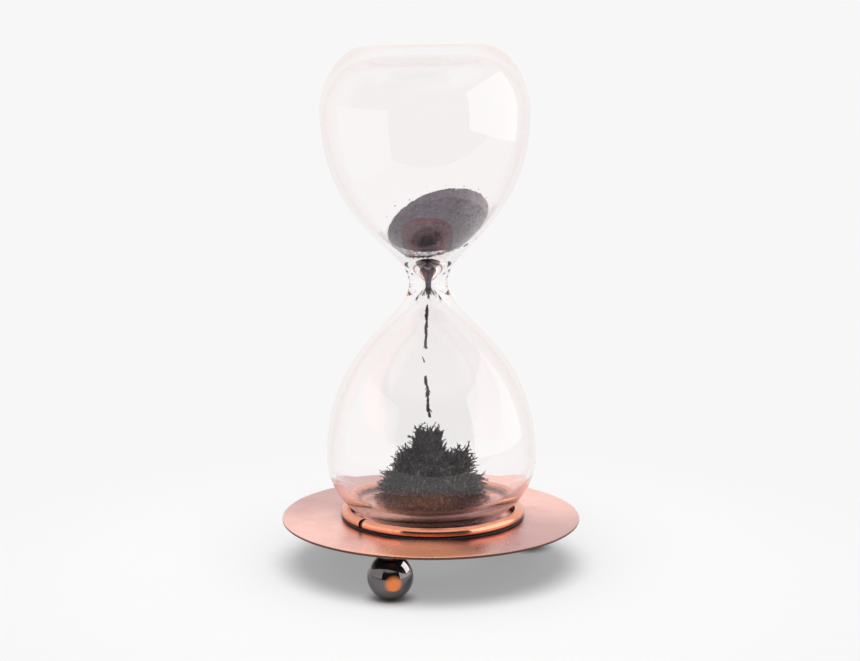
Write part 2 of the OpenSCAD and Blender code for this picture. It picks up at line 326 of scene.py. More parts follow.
def remeshed(bm, voxel):
    """Rebuilds a closed bmesh as even small faces, ready to be roughened."""
    mesh = mesh_of(bm, "remesh_source")
    holder = add_object("remesh_source", mesh)
    modifier = holder.modifiers.new("Voxels", "REMESH")
    modifier.mode = "VOXEL"
    modifier.voxel_size = voxel
    bpy.context.view_layer.update()
    evaluated = holder.evaluated_get(bpy.context.evaluated_depsgraph_get())
    even = bmesh.new()
    even.from_mesh(evaluated.to_mesh())
    bpy.data.objects.remove(holder)
    bpy.data.meshes.remove(mesh)
    return even


def stamp(bm, template, matrix):
    """Adds a copy of a small template mesh at a place."""
    copy = template.copy()
    copy.transform(matrix)
    bm.from_mesh(copy)
    bpy.data.meshes.remove(copy)


def aimed(place, direction, roll, size):
    """The place, turn and size of a template that points along a direction."""
    turn = Vector(direction).to_track_quat("Z", "Y").to_matrix().to_4x4()
    return Matrix.Translation(place) @ turn @ Matrix.Rotation(roll, 4, "Z") @ Matrix.Diagonal((*size, 1))


def shaken(rng, direction, spread):
    """A direction turned a little at random."""
    return (direction + Vector([rng.gauss(0, spread) for _ in range(3)])).normalized()


def on_circle(radius, turn, height=0.0):
    """A point at a turn round the Z axis."""
    return Vector((radius * math.cos(turn), radius * math.sin(turn), height))


def sliver_template():
    """One filing: a three-sided chip a unit long and a unit wide, thinner at its tip."""
    bm = bmesh.new()
    middle = Matrix.Translation((0, 0, 0.5))
    bmesh.ops.create_cone(bm, cap_ends=True, segments=3, radius1=0.5, radius2=0.2, depth=1, matrix=middle)
    return mesh_of(bm, "sliver")


def tuft_template(rng, sliver, length, thickness):
    """A branch of filings that cling end to end, with barbs along it, growing up from the origin."""
    bm = bmesh.new()
    links = 4
    place = Vector((0, 0, -length * 0.2))
    heading = Vector((0, 0, 1))
    for i in range(links):
        share = i / links
        step = length / links * rng.uniform(0.85, 1.3)
        width = thickness * (1.5 - 0.9 * share)
        stamp(bm, sliver, aimed(place, heading, rng.uniform(0, FULL_TURN), (width, width * 0.8, step * 1.5)))
        for _ in range(2):
            side = Vector((rng.gauss(0, 1), rng.gauss(0, 1), rng.uniform(0.3, 1.6))).normalized()
            barb = step * rng.uniform(0.7, 1.25) * (1.1 - 0.4 * share)
            root = place + heading * step * rng.random()
            roll = rng.uniform(0, FULL_TURN)
            size = (thickness * rng.uniform(0.6, 1.0), thickness * 0.6, barb)
            stamp(bm, sliver, aimed(root, side, roll, size))
        place = place + heading * step
        heading = (heading + Vector((rng.gauss(0, 0.22), rng.gauss(0, 0.22), 0))).normalized()
    return mesh_of(bm, "tuft")


def add_node(mat, kind, inputs=None, **settings):
    """Adds a node with its settings, and sets or links its inputs."""
    node = mat.node_tree.nodes.new(kind)
    for name, value in settings.items():
        setattr(node, name, value)
    for key, value in (inputs or {}).items():
        if isinstance(value, bpy.types.NodeSocket):
            mat.node_tree.links.new(value, node.inputs[key])
        else:
            node.inputs[key].default_value = value
    return node


def new_material(name):
    """An empty node material."""
    mat = bpy.data.materials.new(name)
    mat.use_nodes = True
    mat.node_tree.nodes.clear()
    return mat


def finish_material(mat, shader):
    """Sends a shader to the material's surface."""
    add_node(mat, "ShaderNodeOutputMaterial", {"Surface": shader})
    return mat


def blend_colour(mat, factor, low, high):
    """A colour between two others."""
    return add_node(mat, "ShaderNodeMix", {0: factor, 6: low, 7: high}, data_type="RGBA").outputs[2]


def map_range(mat, value, low, high, to_low=0.0, to_high=1.0):
    """A value carried smoothly from one range to another, and held at its ends."""
    inputs = {"Value": value, "From Min": low, "From Max": high, "To Min": to_low, "To Max": to_high}
    return add_node(mat, "ShaderNodeMapRange", inputs, interpolation_type="SMOOTHSTEP").outputs["Result"]


def speckle(mat, place, size, detail=3.0, roughness=0.6):
    """Noise whose grains are about a size in metres."""
    inputs = {"Vector": place, "Scale": 1 / size, "Detail": detail, "Roughness": roughness}
    return add_node(mat, "ShaderNodeTexNoise", inputs).outputs["Fac"]


def math_node(mat, operation, a, b=0.0):
    """One sum on two values."""
    return add_node(mat, "ShaderNodeMath", {0: a, 1: b}, operation=operation).outputs[0]


def object_place(mat):
    """The place of a point on the piece, in metres."""
    return add_node(mat, "ShaderNodeTexCoord").outputs["Object"]


def vector_math(mat, operation, a, b=(0, 0, 0), output="Vector"):
    """One sum on two vectors."""
    return add_node(mat, "ShaderNodeVectorMath", {0: a, 1: b}, operation=operation).outputs[output]


def scaled(mat, vector, factor):
    """A vector or colour times a number."""
    inputs = {0: vector, "Scale": factor}
    return add_node(mat, "ShaderNodeVectorMath", inputs, operation="SCALE").outputs["Vector"]


def distance(mat, place, point):
    """Distance of a point on the piece from a fixed point."""
    return vector_math(mat, "DISTANCE", place, point, "Value")


def axis_distance(mat, place):
    """Distance of a point from the stand's axis."""
    return vector_math(mat, "LENGTH", vector_math(mat, "MULTIPLY", place, (1, 1, 0)), output="Value")


def marks(mat, along, spacing, detail):
    """Noise in one direction, for marks about a spacing apart."""
    inputs = {"W": along, "Scale": 1 / spacing, "Detail": detail}
    return add_node(mat, "ShaderNodeTexNoise", inputs, noise_dimensions="1D").outputs["Fac"]


def bump(mat, height, strength, depth):
    """A normal bent by small heights."""
    inputs = {"Strength": strength, "Distance": depth, "Height": height}
    return add_node(mat, "ShaderNodeBump", inputs).outputs[0]


def principled(mat, **inputs):
    """Finishes a material with one principled shader, its inputs named with underscores for spaces."""
    inputs = {name.replace("_", " "): value for name, value in inputs.items()}
    return finish_material(mat, add_node(mat, "ShaderNodeBsdfPrincipled", inputs).outputs[0])


def mix_shader(mat, factor, first, second):
    """A shader between two others."""
    return add_node(mat, "ShaderNodeMixShader", {0: factor, 1: first, 2: second}).outputs[0]


def glow(mat, colour, strength, kind="ShaderNodeEmission"):
    """A shader that gives off light."""
    return add_node(mat, kind, {"Color": colour, "Strength": strength}).outputs[0]


def height_of(mat, place):
    """Height of a point above the desk."""
    return add_node(mat, "ShaderNodeSeparateXYZ", {0: place}).outputs["Z"]


def ring_place():
    """Middle of the ring, the radius of its wire's middle, and the radius of the wire."""
    low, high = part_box("locating_ring")
    wire_r = (high.z - low.z) / 2
    return (low + high) / 2, (high.y - low.y) / 2 - wire_r, wire_r


def lacquered_copper_plate():
    """Copper sheet, satin turned on a lathe and lacquered: fine turning rings, two pale lobes of painted
    highlight, an orange front of painted reflection, tarnish, antique black deepened by painted shade in the
    corner beside the wire, a painted shade round the wire, a brown cut rim and a dark back."""
    c = bpy.context.scene.hourglass_finishes
    mat = new_material("lacquered_copper_plate")
    place = object_place(mat)
    height = height_of(mat, place)
    low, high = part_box("base_plate")
    middle, ring_r, wire_r = ring_place()
    turning = marks(mat, axis_distance(mat, place), 0.45 * MM, 2.0)
    blotches = speckle(mat, place, 14 * MM, 4.0)
    # Painted highlight: the gleam of turned copper is painted in as two lobes, front left and back right, and
    # stays put
    turn = add_node(mat, "ShaderNodeTexGradient", {0: place}, gradient_type="RADIAL").outputs["Fac"]
    lobes = math_node(mat, "SUBTRACT", math_node(mat, "MULTIPLY", turn, 2 * FULL_TURN), math.radians(80))
    gleam = map_range(mat, math_node(mat, "COSINE", lobes), -0.7, 0.9)
    colour = blend_colour(mat, gleam, c.copper_between_painted_highlights, c.copper)
    tarnish = map_range(mat, blotches, 0.45, 0.75, 0.0, 0.3)
    colour = blend_colour(mat, tarnish, colour, linear("#C08A86"))
    # Painted reflection: the front is painted more orange, for warm light that it would mirror, and is made
    # less metallic
    outward = vector_math(mat, "NORMALIZE", place)
    front = vector_math(mat, "DOT_PRODUCT", outward, (-0.07, -1, 0), "Value")
    painted_front_reflection = map_range(mat, front, 0.78, 0.97)
    colour = blend_colour(mat, math_node(mat, "MULTIPLY", painted_front_reflection, 0.9), colour, c.copper_painted_reflection)
    # Antique black in the corner beside the wire, deepened there as painted shade, and a painted shade halo
    # that fades out round the wire
    from_ring = axis_distance(mat, vector_math(mat, "SUBTRACT", place, middle))
    ragged = math_node(mat, "ADD", from_ring, math_node(mat, "MULTIPLY", blotches, 1.2 * MM))
    from_wire = math_node(mat, "ABSOLUTE", math_node(mat, "SUBTRACT", ragged, ring_r + 0.6 * MM))
    corner = map_range(mat, from_wire, wire_r * 0.7, wire_r * 1.5, 0.95, 0.0)
    painted_shade_halo = map_range(mat, from_wire, wire_r, wire_r * 3.4, 0.25, 0.0)
    colour = blend_colour(mat, painted_shade_halo, colour, linear("#6A5A66"))
    colour = blend_colour(mat, corner, colour, c.patina)
    on_rim = map_range(mat, height, high.z - 0.05 * MM, high.z - 0.2 * MM)
    colour = blend_colour(mat, on_rim, colour, c.rim_brown)
    # The underside is coloured dark
    on_back = map_range(mat, height, low.z + 0.2 * MM, low.z + 0.05 * MM)
    return principled(
        mat,
        Base_Color=blend_colour(mat, on_back, colour, c.patina),
        Metallic=map_range(mat, painted_front_reflection, 0.0, 1.0, 1.0, 0.55),
        Roughness=map_range(mat, blotches, 0.3, 0.8, 0.24, 0.33),
        Normal=bump(mat, turning, 0.35, 0.004 * MM),
        Coat_Weight=0.2,
        Coat_Roughness=0.08,
    )


def polished_copper_wire():
    """Drawn copper wire, polished after it was bent and soldered: fine scratches along it, orange
    blotches, and antique black with painted shade underneath and in the slit."""
    c = bpy.context.scene.hourglass_finishes
    s = bpy.context.scene.hourglass_stand
    mat = new_material("polished_copper_wire")
    place = object_place(mat)
    height = height_of(mat, place)
    plate_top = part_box("base_plate")[1].z
    grain = speckle(mat, place, 1.4 * MM, 4.0)
    scratches = marks(mat, height, 0.2 * MM, 3.0)
    # Antique black with painted shade: blackened underneath, where the wire meets the plate, and on its ends
    # in the slit
    ragged = math_node(mat, "ADD", height, math_node(mat, "MULTIPLY", grain, 0.5 * MM))
    below = map_range(mat, ragged, plate_top + 1.45 * MM, plate_top + 0.8 * MM, 0.0, 0.95)
    centre, ring_r, wire_r = ring_place()
    slit = centre + ring_r * Vector((-math.sin(s.slit_angle), -math.cos(s.slit_angle), 0))
    in_slit = map_range(mat, distance(mat, place, slit), wire_r * 1.12, wire_r * 1.03, 0.0, 0.97)
    black = math_node(mat, "MAXIMUM", below, in_slit)
    colour = blend_colour(mat, map_range(mat, grain, 0.4, 0.8, 0, 0.35), c.copper_wire, linear("#C9764F"))
    return principled(
        mat,
        Base_Color=blend_colour(mat, black, colour, c.patina),
        Metallic=1.0,
        Roughness=map_range(mat, grain, 0.3, 0.8, 0.1, 0.2),
        Normal=bump(mat, scratches, 0.3, 0.003 * MM),
    )


def metal(name, colour, roughness, smear, bump_depth):
    """A plated metal with a fine orange peel and smears that change its gloss a little."""
    mat = new_material(name)
    place = object_place(mat)
    smears = speckle(mat, place, 5 * MM, 3.0)
    peel = speckle(mat, place, 0.6 * MM, 2.0)
    shade = [v * 0.8 for v in colour[:3]] + [1.0]
    return principled(
        mat,
        Base_Color=blend_colour(mat, map_range(mat, smears, 0.35, 0.75), colour, shade),
        Metallic=1.0,
        Roughness=map_range(mat, smears, 0.3, 0.8, roughness, roughness + smear),
        Normal=bump(mat, peel, 0.2, bump_depth),
    )


def blackened_solder():
    """Soft tin solder under antique black: dull and lumpy."""
    c = bpy.context.scene.hourglass_finishes
    mat = new_material("blackened_solder")
    lumps = speckle(mat, object_place(mat), 0.5 * MM)
    colour = blend_colour(mat, map_range(mat, lumps, 0.5, 0.75, 0, 0.5), c.patina, linear("#5C5654"))
    normal = bump(mat, lumps, 0.6, 0.05 * MM)
    return principled(mat, Base_Color=colour, Metallic=0.7, Roughness=0.5, Normal=normal)


def foam_tape():
    """Acrylic foam tape: pale, matt and finely pored."""
    c = bpy.context.scene.hourglass_finishes
    mat = new_material("foam_tape")
    pores = speckle(mat, object_place(mat), 0.3 * MM)
    colour = blend_colour(mat, map_range(mat, pores, 0.4, 0.7, 0, 0.4), c.adhesive, linear("#A8A296"))
    return principled(mat, Base_Color=colour, Roughness=0.85, Normal=bump(mat, pores, 0.5, 0.03 * MM))


def blown_borosilicate():
    """Borosilicate glass, blown and flame polished: clear and sharp. Shadow rays pass straight through
    it, and so do rays mirrored three times or more, which would end as dark patches between its faces."""
    c = bpy.context.scene.hourglass_finishes
    mat = new_material("blown_borosilicate")
    # Painted reflection: the rims are tinted pink, for the copper that they would mirror
    facing = add_node(mat, "ShaderNodeLayerWeight", {"Blend": 0.5}).outputs["Facing"]
    inputs = {
        "Base Color": blend_colour(mat, map_range(mat, facing, 0.45, 0.95), c.glass, c.glass_rim_painted_reflection),
        "Roughness": 0.0,
        "IOR": 1.47,
        "Transmission Weight": 1.0,
        "Specular IOR Level": 0.22,
    }
    glass = add_node(mat, "ShaderNodeBsdfPrincipled", inputs)
    clear = add_node(mat, "ShaderNodeBsdfTransparent", {"Color": linear("#F4F4F4")})
    rays = add_node(mat, "ShaderNodeLightPath")
    trapped = math_node(mat, "GREATER_THAN", rays.outputs["Glossy Depth"], 2.5)
    let_through = math_node(mat, "MAXIMUM", rays.outputs["Is Shadow Ray"], trapped)
    return finish_material(mat, mix_shader(mat, let_through, glass.outputs[0], clear.outputs[0]))


def coarse_iron_filings():
    """Coarse filings from soft iron, oiled and dark, with pale threads of painted glints low on the pile."""
    c = bpy.context.scene.hourglass_finishes
    g = bpy.context.scene.hourglass_glass
    mat = new_material("coarse_iron_filings")
    place = object_place(mat)
    # Painted glints: threads are about 0.9 mm across, and two and a half times as tall
    drawn = vector_math(mat, "MULTIPLY", place, (1, 1, 0.4))
    threads = map_range(mat, speckle(mat, drawn, 0.9 * MM, 3.0), 0.55, 0.62)
    foot = glass_place().translation.z + g.end_t
    low_down = map_range(mat, height_of(mat, place), foot + 19 * MM, foot + 8 * MM, 0.12, 0.85)
    chips = map_range(mat, speckle(mat, place, 0.45 * MM, 3.0), 0.42, 0.72, 0.45, 3.4)
    base = scaled(mat, c.filings[:3], chips)
    colour = blend_colour(mat, math_node(mat, "MULTIPLY", threads, low_down), base, c.filings_painted_glint)
    return principled(mat, Base_Color=colour, Metallic=0.4, Roughness=0.5, Specular_IOR_Level=0.3)


def fine_iron_powder():
    """Fine iron powder: matt grey, paler on the right side as painted light, and dark with rusty grains
    round the funnel where it drains away."""
    c = bpy.context.scene.hourglass_finishes
    f = bpy.context.scene.hourglass_filings
    g = bpy.context.scene.hourglass_glass
    mat = new_material("fine_iron_powder")
    place = object_place(mat)
    funnel = glass_place() @ Vector((0, 0, g.lower_half_h + f.heap_h - f.crater_depth / 2))
    grains = speckle(mat, place, 0.3 * MM, 3.0, 0.7)
    aside = add_node(mat, "ShaderNodeSeparateXYZ", {0: place}).outputs["X"]
    # Painted light: the right side is painted paler, as if lit from the right
    pale = map_range(mat, aside, 6 * MM, 19 * MM, 0.0, 0.9)
    colour = blend_colour(mat, pale, c.powder, c.powder_painted_light)
    # Rusty grains gather on the rim of the funnel, most of all on its right
    wander = math_node(mat, "MULTIPLY", speckle(mat, place, 3 * MM, 4.0), 7 * MM)
    rim = math_node(mat, "ADD", distance(mat, place, funnel), wander)
    off_rim = math_node(mat, "ABSOLUTE", math_node(mat, "SUBTRACT", rim, f.crater_r * 2.1))
    sided = map_range(mat, aside, -6 * MM, 4 * MM, 0.05, 0.5)
    rusty = math_node(mat, "MULTIPLY", map_range(mat, off_rim, 2.2 * MM, 0), sided)
    patches = map_range(mat, speckle(mat, place, 0.9 * MM, 4.0), 0.46, 0.62)
    colour = blend_colour(mat, math_node(mat, "MULTIPLY", rusty, patches), colour, c.rust)
    near = map_range(mat, rim, f.crater_r * 4, f.crater_r * 1.8, 0.0, 0.25)
    colour = blend_colour(mat, near, colour, linear("#3E3234"))
    dark = map_range(mat, rim, f.crater_r * 2.1, f.crater_r * 1.4, 0.0, 0.7)
    colour = blend_colour(mat, dark, colour, c.filings)
    colour = scaled(mat, colour, map_range(mat, grains, 0.3, 0.7, 0.3, 1.7))
    normal = bump(mat, grains, 0.8, 0.12 * MM)
    return principled(mat, Base_Color=colour, Metallic=0.15, Roughness=0.75, Normal=normal)


def rusty_iron_dust():
    """A film of rusty iron dust on the glass: brown and dull."""
    c = bpy.context.scene.hourglass_finishes
    mat = new_material("rusty_iron_dust")
    grains = speckle(mat, object_place(mat), 0.6 * MM, 3.0)
    colour = blend_colour(mat, map_range(mat, grains, 0.35, 0.65), c.filings, c.dust)
    return principled(mat, Base_Color=colour, Metallic=0.2, Roughness=0.7)


def dress_node(node, material):
    """Gives a CAD node its finish."""
    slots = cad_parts[node].data.materials
    slots.clear()
    slots.append(material)


def emitter(name, corners, colour, strength):
    """A flat card that only shows in reflections, as studio cards and windows do, and that fades
    towards its edge where it is round."""
    bm = bmesh.new()
    bmesh.ops.contextual_create(bm, geom=[bm.verts.new(p) for p in corners])
    card = add_object(name, mesh_of(bm, name))
    mat = new_material(name)
    shader = glow(mat, colour, strength)
    if len(corners) > 4:
        middle = sum((Vector(p) for p in corners), Vector()) / len(corners)
        reach = max((Vector(p) - middle).length for p in corners)
        lit = map_range(mat, distance(mat, object_place(mat), middle), reach, reach * 0.3)
        clear = add_node(mat, "ShaderNodeBsdfTransparent")
        shader = mix_shader(mat, lit, clear.outputs[0], shader)
    card.data.materials.append(finish_material(mat, shader))
    for ray in ("camera", "diffuse", "transmission", "shadow"):
        setattr(card, f"visible_{ray}", False)


class HOURGLASS_OT_stage(bpy.types.Operator):
    """Set up the pale table, the soft studio light and the camera"""

    bl_idname = "hourglass.stage"
    bl_label = "Stage"

    def execute(self, context):
        s = context.scene.hourglass_stage
        c = context.scene.hourglass_finishes
        context.scene.view_settings.view_transform = "Standard"
        plate_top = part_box("base_plate")[1].z
        camera_data = bpy.data.cameras.new("camera")
        camera_data.lens = s.lens
        camera = add_object("camera", camera_data)
        camera.location = (-s.camera_aside, -s.camera_distance, plate_top + s.camera_rise)
        camera.rotation_euler = (math.pi / 2 - s.camera_pitch, 0, 0)
        context.scene.camera = camera
        self.lay_table(s, c)

        sun_data = bpy.data.lights.new("overhead_softbox", "SUN")
        sun_data.energy = 2.55
        sun_data.angle = math.radians(46)
        sun = add_object("overhead_softbox", sun_data)
        sun.rotation_euler = (math.radians(16), 0, 0)
        sun.visible_glossy = False
        sun.visible_transmission = False

        edge, far, above_table = -s.table_edge, -9.0, 0.0004
        dark_room = [(x, y, above_table) for x, y in ((far, edge), (-far, edge), (-far, far), (far, far))]
        emitter("dark_room", dark_room, linear("#0B0B0D"), 1.0)
        window = [(0.6, -0.54, 0.0), (0.6, 0.31, 0.0), (0.6, 0.31, 0.56), (0.6, -0.54, 0.56)]
        emitter("right_window", window, WHITE, 2.0)
        card = [(-0.13, -0.17, 0.01), (-0.2, 0.04, 0.01), (-0.2, 0.04, 0.15), (-0.13, -0.17, 0.15)]
        emitter("left_card", card, linear("#F8F8F8"), 1.3)
        # Two small cards stand so close to the front ball that only the ball mirrors them
        ball = sum(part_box("front_ball_foot"), Vector()) / 2
        disc = [on_circle(6.8, FULL_TURN * i / 24).xy for i in range(24)]
        pane = [(-2.4, -2.8), (2.2, -2.4), (2.6, 2.6), (-2.4, 2.4)]
        for name, way, away, outline, colour, strength in (
            ("warm_lamp", Vector((0.22, -0.95, -0.2)), 9, disc, linear("#FF9A5E"), 4.6),
            ("ball_card", Vector((0.8, -0.12, 0.59)).normalized(), 9.5, pane, WHITE, 5.5),
        ):
            turn = way.to_track_quat("Z", "Y")
            corners = [ball + (way * away + turn @ Vector((x, y, 0))) * MM for x, y in outline]
            emitter(name, corners, colour, strength)
        self.light_room(s)
        return {"FINISHED"}

    def lay_table(self, s, c):
        """Lays a matt table that glows a little, as a light table does, and blends into the backdrop."""
        bm = bmesh.new()
        bmesh.ops.create_circle(bm, cap_ends=True, segments=64, radius=30)
        table = add_object("table", mesh_of(bm, "table"))
        mat = new_material("matt_light_table")
        place = object_place(mat)
        lit = add_node(mat, "ShaderNodeBsdfDiffuse", {"Color": c.floor})
        # Painted contact shadow: the table's glow is taken away round the ball feet
        strength = s.table_glow
        for side in FEET:
            low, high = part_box(f"{side}_ball_foot")
            contact = Vector(((low.x + high.x) / 2, (low.y + high.y) / 2, 0))
            clear = map_range(mat, distance(mat, place, contact), 2 * MM, 9 * MM)
            strength = math_node(mat, "MULTIPLY", clear, strength)
        near = add_node(mat, "ShaderNodeAddShader", {0: lit.outputs[0], 1: glow(mat, WHITE, strength)})
        away = map_range(mat, axis_distance(mat, place), 0.07, 0.16)
        shader = mix_shader(mat, away, near.outputs[0], glow(mat, WHITE, s.backdrop))
        table.data.materials.append(finish_material(mat, shader))

    def light_room(self, s):
        """Lights the room: a soft haze, a room that gleams mirror, and the backdrop that is seen."""
        world = bpy.data.worlds.new("studio")
        bpy.context.scene.world = world
        world.use_nodes = True
        world.node_tree.nodes.clear()
        way = add_node(world, "ShaderNodeTexCoord").outputs["Generated"]
        sides = add_node(world, "ShaderNodeSeparateXYZ", {0: way}).outputs
        gleam = map_range(world, sides["Y"], -0.3, 0.3, 0.05, 1.0)
        gleam = math_node(world, "MAXIMUM", gleam, map_range(world, sides["Z"], 0.5, 0.7))
        rays = add_node(world, "ShaderNodeLightPath").outputs
        kind = "ShaderNodeBackground"
        haze = glow(world, WHITE, 0.45, kind)
        lit = mix_shader(world, rays["Is Glossy Ray"], haze, glow(world, linear("#FFFAF8"), gleam, kind))
        seen = math_node(world, "MAXIMUM", rays["Is Camera Ray"], rays["Is Transmission Ray"])
        mixed = mix_shader(world, seen, lit, glow(world, WHITE, s.backdrop, kind))
        add_node(world, "ShaderNodeOutputWorld", {"Surface": mixed})


class HOURGLASS_OT_plate(bpy.types.Operator):
    """Turn the copper base plate, with soft waves in the sheet and shear marks on its rim"""

    bl_idname = "hourglass.plate"
    bl_label = "Base plate"

    def execute(self, context):
        s = context.scene.hourglass_stand
        low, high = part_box("base_plate")
        radius, edge = high.x, s.plate_edge_r
        # Enough rings for the waves to bend
        rings = 26
        outline = [(radius * i / rings, high.z) for i in range(rings)]
        outline += arc(radius - edge, high.z - edge, edge, 90, 0, 4)
        outline += arc(radius - edge, low.z + edge, edge, 0, -90, 4)
        outline += [(0, low.z)]
        bm = bmesh.new()
        lathe(bm, outline, 512)
        for vert in bm.verts:
            away = vert.co.xy.length
            wave = noise.noise(vert.co * 55) + 1
            if vert.co.z > high.z - edge / 2:
                vert.co.z -= s.plate_dish * wave
            if away > radius - edge:
                bite = max(0.0, noise.noise(vert.co * 900)) * (0.35 + max(0.0, noise.noise(vert.co * 40)))
                vert.co.xy *= 1 - s.shear_depth * bite / radius
        copper = lacquered_copper_plate()
        make_piece("copper_base_plate", bm, copper, "stand", ["base_plate"], 50)
        return {"FINISHED"}


class HOURGLASS_OT_ring(bpy.types.Operator):
    """Bend the copper wire into a ring with a slanted slit, and blacken its solder"""

    bl_idname = "hourglass.ring"
    bl_label = "Locating ring"

    def execute(self, context):
        s = context.scene.hourglass_stand
        centre, ring_r, wire_r = ring_place()
        gap = s.slit_w / math.cos(s.slit_slant) / ring_r
        start = -math.pi / 2 - s.slit_angle + gap / 2
        bm = bmesh.new()
        place = Matrix.Rotation(start, 4, "Z") @ Matrix.Translation((ring_r, 0, centre.z))
        place = place @ Matrix.Rotation(math.pi / 2, 4, "X")
        section = bmesh.ops.create_circle(bm, cap_ends=False, segments=40, radius=wire_r, matrix=place)
        bmesh.ops.spin(
            bm,
            geom=section["verts"] + list({e for v in section["verts"] for e in v.link_edges}),
            cent=(0, 0, 0),
            axis=(0, 0, 1),
            angle=FULL_TURN - gap,
            steps=300,
        )
        bmesh.ops.holes_fill(bm, edges=bm.edges[:], sides=0)
        bmesh.ops.recalc_face_normals(bm, faces=bm.faces[:])
        blend_l = 6 * MM
        for vert in bm.verts:
            turn = (math.atan2(vert.co.y, vert.co.x) - start + gap / 2) % FULL_TURN
            turn = min(turn, FULL_TURN - turn)
            near = max(0.0, 1 - turn * ring_r / blend_l)
            out = vert.co.xy.length - ring_r
            vert.co.rotate(Matrix.Rotation(-out * math.tan(s.slit_slant) / ring_r * near, 3, "Z"))
        ends = [e for e in bm.edges if any(len(f.verts) > 4 for f in e.link_faces)]
        bmesh.ops.bevel(bm, geom=ends, offset=0.12 * MM, segments=3, affect="EDGES", profile=0.5, material=-1)
        move(bm, Matrix.Translation((centre.x, 0, 0)))
        wire = polished_copper_wire()
        make_piece("copper_wire_ring", bm, wire, "stand", ["locating_ring"], 50)
        dress_node("ring_solder_bead", blackened_solder())
        return {"FINISHED"}


class HOURGLASS_OT_feet(bpy.types.Operator):
    """Turn the mirror-plated ball feet and their collars"""

    bl_idname = "hourglass.feet"
    bl_label = "Ball feet"

    def execute(self, context):
        s = context.scene.hourglass_stand
        c = context.scene.hourglass_finishes
        # Black nickel, a dark mirror plate over polished steel balls
        mirror = metal("black_nickel_mirror_plate", c.black_nickel, 0.03, 0.03, 0.001 * MM)
        zinc = metal("zinc_plated_steel", c.steel, 0.3, 0.12, 0.01 * MM)
        for side in FEET:
            low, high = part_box(f"{side}_ball_foot")
            stud_low, stud_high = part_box(f"{side}_foot_stud")
            centre = (low + high) / 2
            radius = (high.x - low.x) / 2
            bore = (stud_high.x - stud_low.x) / 2
            seat = high.z - radius - low.z
            seat_angle = math.degrees(math.asin(seat / radius)) - 2
            lip = radius * math.cos(math.radians(seat_angle))
            outline = arc(0, radius, radius, -90, seat_angle, 56)
            outline += [(lip - s.seat_r, high.z - low.z), (bore, high.z - low.z)]
            bm = bmesh.new()
            lathe(bm, outline, 96)
            move(bm, Matrix.Translation((centre.x, centre.y, low.z)))
            make_piece(f"{side}_ball", bm, mirror, "stand", [f"{side}_ball_foot"], 40)

            low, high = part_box(f"{side}_foot_collar")
            outer, cut = (high.x - low.x) / 2, s.collar_chamfer
            outline = [(bore, low.z), (outer - cut, low.z), (outer, low.z + cut)]
            outline += [(outer, high.z - cut), (outer - cut, high.z), (bore, high.z)]
            bm = bmesh.new()
            lathe(bm, outline, 72)
            move(bm, Matrix.Translation((centre.x, centre.y, 0)))
            make_piece(f"{side}_collar", bm, mirror, "stand", [f"{side}_foot_collar"], 30)
            dress_node(f"{side}_foot_stud", zinc)
        return {"FINISHED"}


class HOURGLASS_OT_magnet(bpy.types.Operator):
    """Press the magnet's steel cup and finish the magnet and its tape"""

    bl_idname = "hourglass.magnet"
    bl_label = "Magnet"

    def execute(self, context):
        s = context.scene.hourglass_stand
        c = context.scene.hourglass_finishes
        low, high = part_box("magnet_cup")
        magnet_low, magnet_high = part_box("disc_magnet")
        outer, fillet = high.x, s.cup_fillet
        inner = magnet_high.x + 0.1 * MM
        lip = 0.2 * MM
        outline = [(0, low.z)]
        outline += arc(outer - fillet, low.z + fillet, fillet, -90, 0, 8)
        outline += arc(outer - lip, high.z - lip, lip, 0, 90, 3)
        outline += [(inner, high.z), (inner, magnet_low.z), (0, magnet_low.z)]
        bm = bmesh.new()
        lathe(bm, outline, 128)
        # Zinc plate, satin over the drawn steel of the cup
        zinc = metal("zinc_plated_cup", c.steel, 0.28, 0.12, 0.01 * MM)
        make_piece("steel_magnet_cup", bm, zinc, "stand", ["magnet_cup"], 40)
        # Nickel plate over sintered neodymium, ground flat
        dress_node("disc_magnet", metal("nickel_plated_magnet", c.magnet, 0.16, 0.1, 0.004 * MM))
        dress_node("magnet_adhesive_disc", foam_tape())
        return {"FINISHED"}


class HOURGLASS_OT_glass(bpy.types.Operator):
    """Blow the glass: an outer skin with soft waves, and the hollow inside it"""

    bl_idname = "hourglass.glass"
    bl_label = "Glass"

    def execute(self, context):
        g = context.scene.hourglass_glass
        outer = bmesh.new()
        lathe(outer, hourglass_outline(g.waist_d / 2, g.waist_ease, 0, 0), 192)
        top = g.lower_half_h + g.upper_half_h
        for vert in outer.verts:
            height = vert.co.z
            fade = min(1.0, height / (8 * MM), (top - height) / (8 * MM))
            wave = (noise.noise(vert.co * 60) - 1) / 2
            vert.co.xy *= 1 + wave * g.waviness * fade / max(vert.co.xy.length, g.waist_d / 2)
        inner = bmesh.new()
        lathe(inner, cavity_outline(0), 192)
        for vert in inner.verts:
            height = vert.co.z
            fade = min(1.0, abs(height - g.lower_half_h) / (12 * MM))
            wave = (noise.noise(vert.co * 45 + Vector((3, 1, 7))) + 1) / 2
            vert.co.xy *= 1 + wave * g.waviness * fade / max(vert.co.xy.length, g.waist_d)
        bmesh.ops.reverse_faces(inner, faces=inner.faces[:])
        hollow = mesh_of(inner, "hollow")
        outer.from_mesh(hollow)
        bpy.data.meshes.remove(hollow)
        move(outer, glass_place())
        glass = blown_borosilicate()
        make_piece("blown_glass", outer, glass, "hourglass", ["glass_hourglass"], 60)
        return {"FINISHED"}


